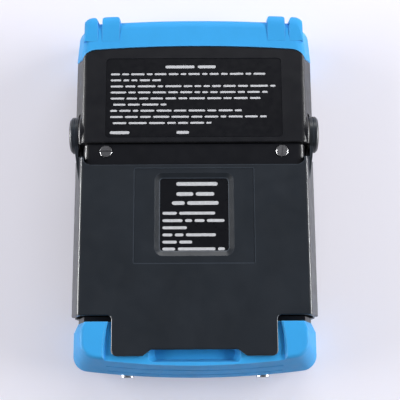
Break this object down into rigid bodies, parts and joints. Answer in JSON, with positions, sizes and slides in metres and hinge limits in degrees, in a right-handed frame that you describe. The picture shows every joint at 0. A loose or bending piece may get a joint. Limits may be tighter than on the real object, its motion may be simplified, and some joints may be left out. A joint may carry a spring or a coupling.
{
  "type": "ultrasonic flaw detector",
  "caption": "Portable ultrasonic flaw detector lying face down: rubber corner boots, folding stand, battery pack, probe sockets, display, keypad and rotary control.",
  "frame": {"origin": "centre of the instrument's outline, on the plane of the boots' front rims on which it lies", "axes": "+Z out of the back, +Y towards the socket end, +X to the right as seen from behind"},
  "size_m": [0.1784, 0.263, 0.0618],
  "materials": {
    "boot_rubber": "matte moulded rubber, sky blue",
    "cover_plastic": "fine grained black plastic",
    "pack_plastic": "fine grained black plastic",
    "stand_plastic": "dark slate moulded plastic",
    "label_film": "satin printed film",
    "screw_steel": "turned stainless steel",
    "washer_steel": "spring steel",
    "washer_plastic": "natural nylon",
    "gasket_rubber": "soft black rubber",
    "window_clear": "clear window over a dark surround",
    "display_metal": "pressed metal back",
    "board_green": "solder-masked laminate",
    "key_rubber": "matte silicone",
    "soft_key_rubber": "matte silicone",
    "knob_plastic": "soft touch plastic",
    "bright_steel": "plated metal",
    "spacer_brass": "turned brass",
    "housing_plastic": "black moulded plastic",
    "light_clear": "frosted light guides",
    "cell_wrap": "shrink sleeve"
  },
  "bodies": {
    "case": {"battery_base": "pack_plastic", "battery_cells": "cell_wrap", "battery_contacts": "housing_plastic", "battery_label": "label_film", "battery_screws": "screw_steel", "battery_shell": "pack_plastic", "battery_terminals": "spacer_brass", "board_standoffs": "spacer_brass", "boot_screws": "screw_steel", "bottom_boot": "boot_rubber", "buzzer": "housing_plastic", "case_gasket": "gasket_rubber", "case_screws": "screw_steel", "display_frame": "display_metal", "display_module": "display_metal", "display_window": "window_clear", "encoder": "housing_plastic", "encoder_nut": "bright_steel", "friction_washers": "washer_plastic", "front_cover": "cover_plastic", "key_mat": "key_rubber", "keypad_board": "board_green", "main_board": "board_green", "notes_label": "label_film", "pivot_screws": "screw_steel", "power_board": "board_green", "power_socket": "housing_plastic", "probe_socket_left": "bright_steel", "probe_socket_right": "bright_steel", "protection_board": "board_green", "pulser_board": "board_green", "pulser_standoffs": "spacer_brass", "rear_cover": "cover_plastic", "shield_can": "display_metal", "socket_nuts": "bright_steel", "status_lights": "light_clear", "top_boot": "boot_rubber", "usb_socket": "bright_steel", "wave_washers": "washer_steel"},
    "stand": {"stand": "stand_plastic", "pivot_cap_left": "stand_plastic", "pivot_cap_right": "stand_plastic"},
    "knob": {"knob": "knob_plastic", "encoder_shaft": "bright_steel"},
    "soft_key_1": {"soft_key_1": "soft_key_rubber"},
    "soft_key_2": {"soft_key_2": "soft_key_rubber"},
    "soft_key_3": {"soft_key_3": "soft_key_rubber"},
    "soft_key_4": {"soft_key_4": "soft_key_rubber"},
    "soft_key_5": {"soft_key_5": "soft_key_rubber"},
    "pad_key_1": {"pad_key_1": "key_rubber"},
    "pad_key_2": {"pad_key_2": "key_rubber"},
    "pad_key_3": {"pad_key_3": "key_rubber"},
    "pad_key_4": {"pad_key_4": "key_rubber"},
    "pad_key_5": {"pad_key_5": "key_rubber"},
    "pad_key_6": {"pad_key_6": "key_rubber"},
    "pad_key_7": {"pad_key_7": "key_rubber"},
    "pad_key_8": {"pad_key_8": "key_rubber"},
    "pad_key_9": {"pad_key_9": "key_rubber"},
    "power_key": {"power_key": "key_rubber"}
  },
  "joints": [
    {"name": "stand_hinge", "type": "hinge", "parent": "case", "child": "stand", "pos_m": [0, 0.0398, 0.045], "axis": [-1, 0, 0], "range_deg": [0, 80]},
    {"name": "knob_turn", "type": "hinge", "parent": "case", "child": "knob", "pos_m": [-0.052, -0.04, 0.005], "axis": [0, 0, 1], "continuous": true},
    {"name": "soft_key_1_press", "type": "slide", "parent": "case", "child": "soft_key_1", "axis": [0, 0, 1], "range_m": [0, 0.0008], "stiffness_N_per_m": 1200},
    {"name": "soft_key_2_press", "type": "slide", "parent": "case", "child": "soft_key_2", "axis": [0, 0, 1], "range_m": [0, 0.0008], "stiffness_N_per_m": 1200},
    {"name": "soft_key_3_press", "type": "slide", "parent": "case", "child": "soft_key_3", "axis": [0, 0, 1], "range_m": [0, 0.0008], "stiffness_N_per_m": 1200},
    {"name": "soft_key_4_press", "type": "slide", "parent": "case", "child": "soft_key_4", "axis": [0, 0, 1], "range_m": [0, 0.0008], "stiffness_N_per_m": 1200},
    {"name": "soft_key_5_press", "type": "slide", "parent": "case", "child": "soft_key_5", "axis": [0, 0, 1], "range_m": [0, 0.0008], "stiffness_N_per_m": 1200},
    {"name": "pad_key_1_press", "type": "slide", "parent": "case", "child": "pad_key_1", "axis": [0, 0, 1], "range_m": [0, 0.0008], "stiffness_N_per_m": 1200},
    {"name": "pad_key_2_press", "type": "slide", "parent": "case", "child": "pad_key_2", "axis": [0, 0, 1], "range_m": [0, 0.0008], "stiffness_N_per_m": 1200},
    {"name": "pad_key_3_press", "type": "slide", "parent": "case", "child": "pad_key_3", "axis": [0, 0, 1], "range_m": [0, 0.0008], "stiffness_N_per_m": 1200},
    {"name": "pad_key_4_press", "type": "slide", "parent": "case", "child": "pad_key_4", "axis": [0, 0, 1], "range_m": [0, 0.0008], "stiffness_N_per_m": 1200},
    {"name": "pad_key_5_press", "type": "slide", "parent": "case", "child": "pad_key_5", "axis": [0, 0, 1], "range_m": [0, 0.0008], "stiffness_N_per_m": 1200},
    {"name": "pad_key_6_press", "type": "slide", "parent": "case", "child": "pad_key_6", "axis": [0, 0, 1], "range_m": [0, 0.0008], "stiffness_N_per_m": 1200},
    {"name": "pad_key_7_press", "type": "slide", "parent": "case", "child": "pad_key_7", "axis": [0, 0, 1], "range_m": [0, 0.0008], "stiffness_N_per_m": 1200},
    {"name": "pad_key_8_press", "type": "slide", "parent": "case", "child": "pad_key_8", "axis": [0, 0, 1], "range_m": [0, 0.0008], "stiffness_N_per_m": 1200},
    {"name": "pad_key_9_press", "type": "slide", "parent": "case", "child": "pad_key_9", "axis": [0, 0, 1], "range_m": [0, 0.0008], "stiffness_N_per_m": 1200},
    {"name": "power_key_press", "type": "slide", "parent": "case", "child": "power_key", "axis": [0, 0, 1], "range_m": [0, 0.0008], "stiffness_N_per_m": 1200}
  ]
}
